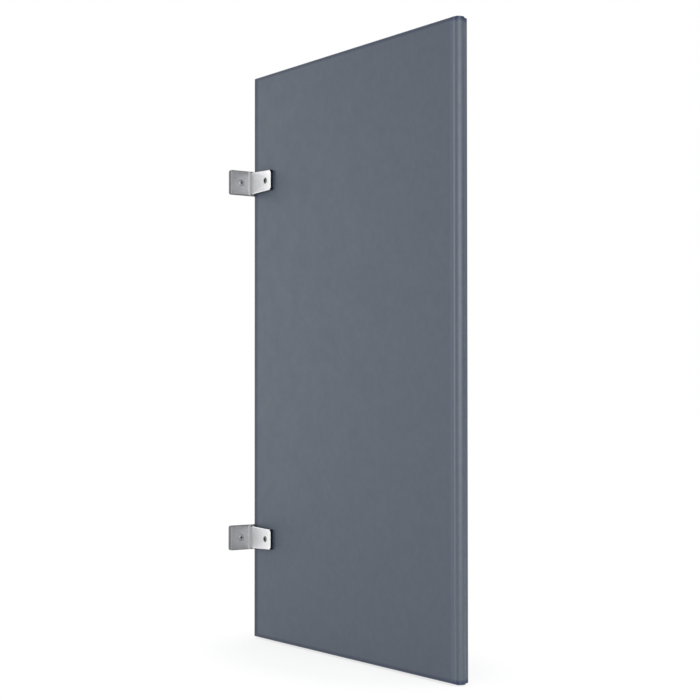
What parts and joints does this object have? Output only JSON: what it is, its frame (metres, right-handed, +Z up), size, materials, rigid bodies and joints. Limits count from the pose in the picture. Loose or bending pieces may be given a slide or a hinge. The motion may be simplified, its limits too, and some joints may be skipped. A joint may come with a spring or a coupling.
{
  "type": "urinal privacy screen",
  "caption": "Wall-hung flat privacy screen: hollow steel panel with crowned edge strips, carried by two U-shaped double-ear wall brackets.",
  "frame": {"origin": "on the wall plane, midway between the four wall fixings", "axes": "+X out from the wall along the panel, +Y across the panel towards its rear face, +Z up"},
  "size_m": [0.6444, 0.1324, 1.0668],
  "materials": {
    "coated_steel": "semi-gloss powder coat",
    "coated_strip": "semi-gloss powder coat",
    "kraft_core": "kraft paper",
    "bare_steel": "mill finish",
    "bracket_chrome": "satin chrome plate",
    "plated_fastener": "bright zinc plate"
  },
  "bodies": {
    "root": {"front_sheet": "coated_steel", "rear_sheet": "coated_steel", "honeycomb_core": "kraft_core", "outer_strip": "coated_strip", "wall_strip": "coated_strip", "top_cap": "coated_strip", "bottom_cap": "coated_strip", "upper_reinforcement": "bare_steel", "lower_reinforcement": "bare_steel", "upper_bracket": "bracket_chrome", "lower_bracket": "bracket_chrome", "upper_bolt": "plated_fastener", "lower_bolt": "plated_fastener", "upper_barrel_nut": "plated_fastener", "lower_barrel_nut": "plated_fastener", "upper_wall_screws": "plated_fastener", "lower_wall_screws": "plated_fastener"}
  },
  "joints": []
}
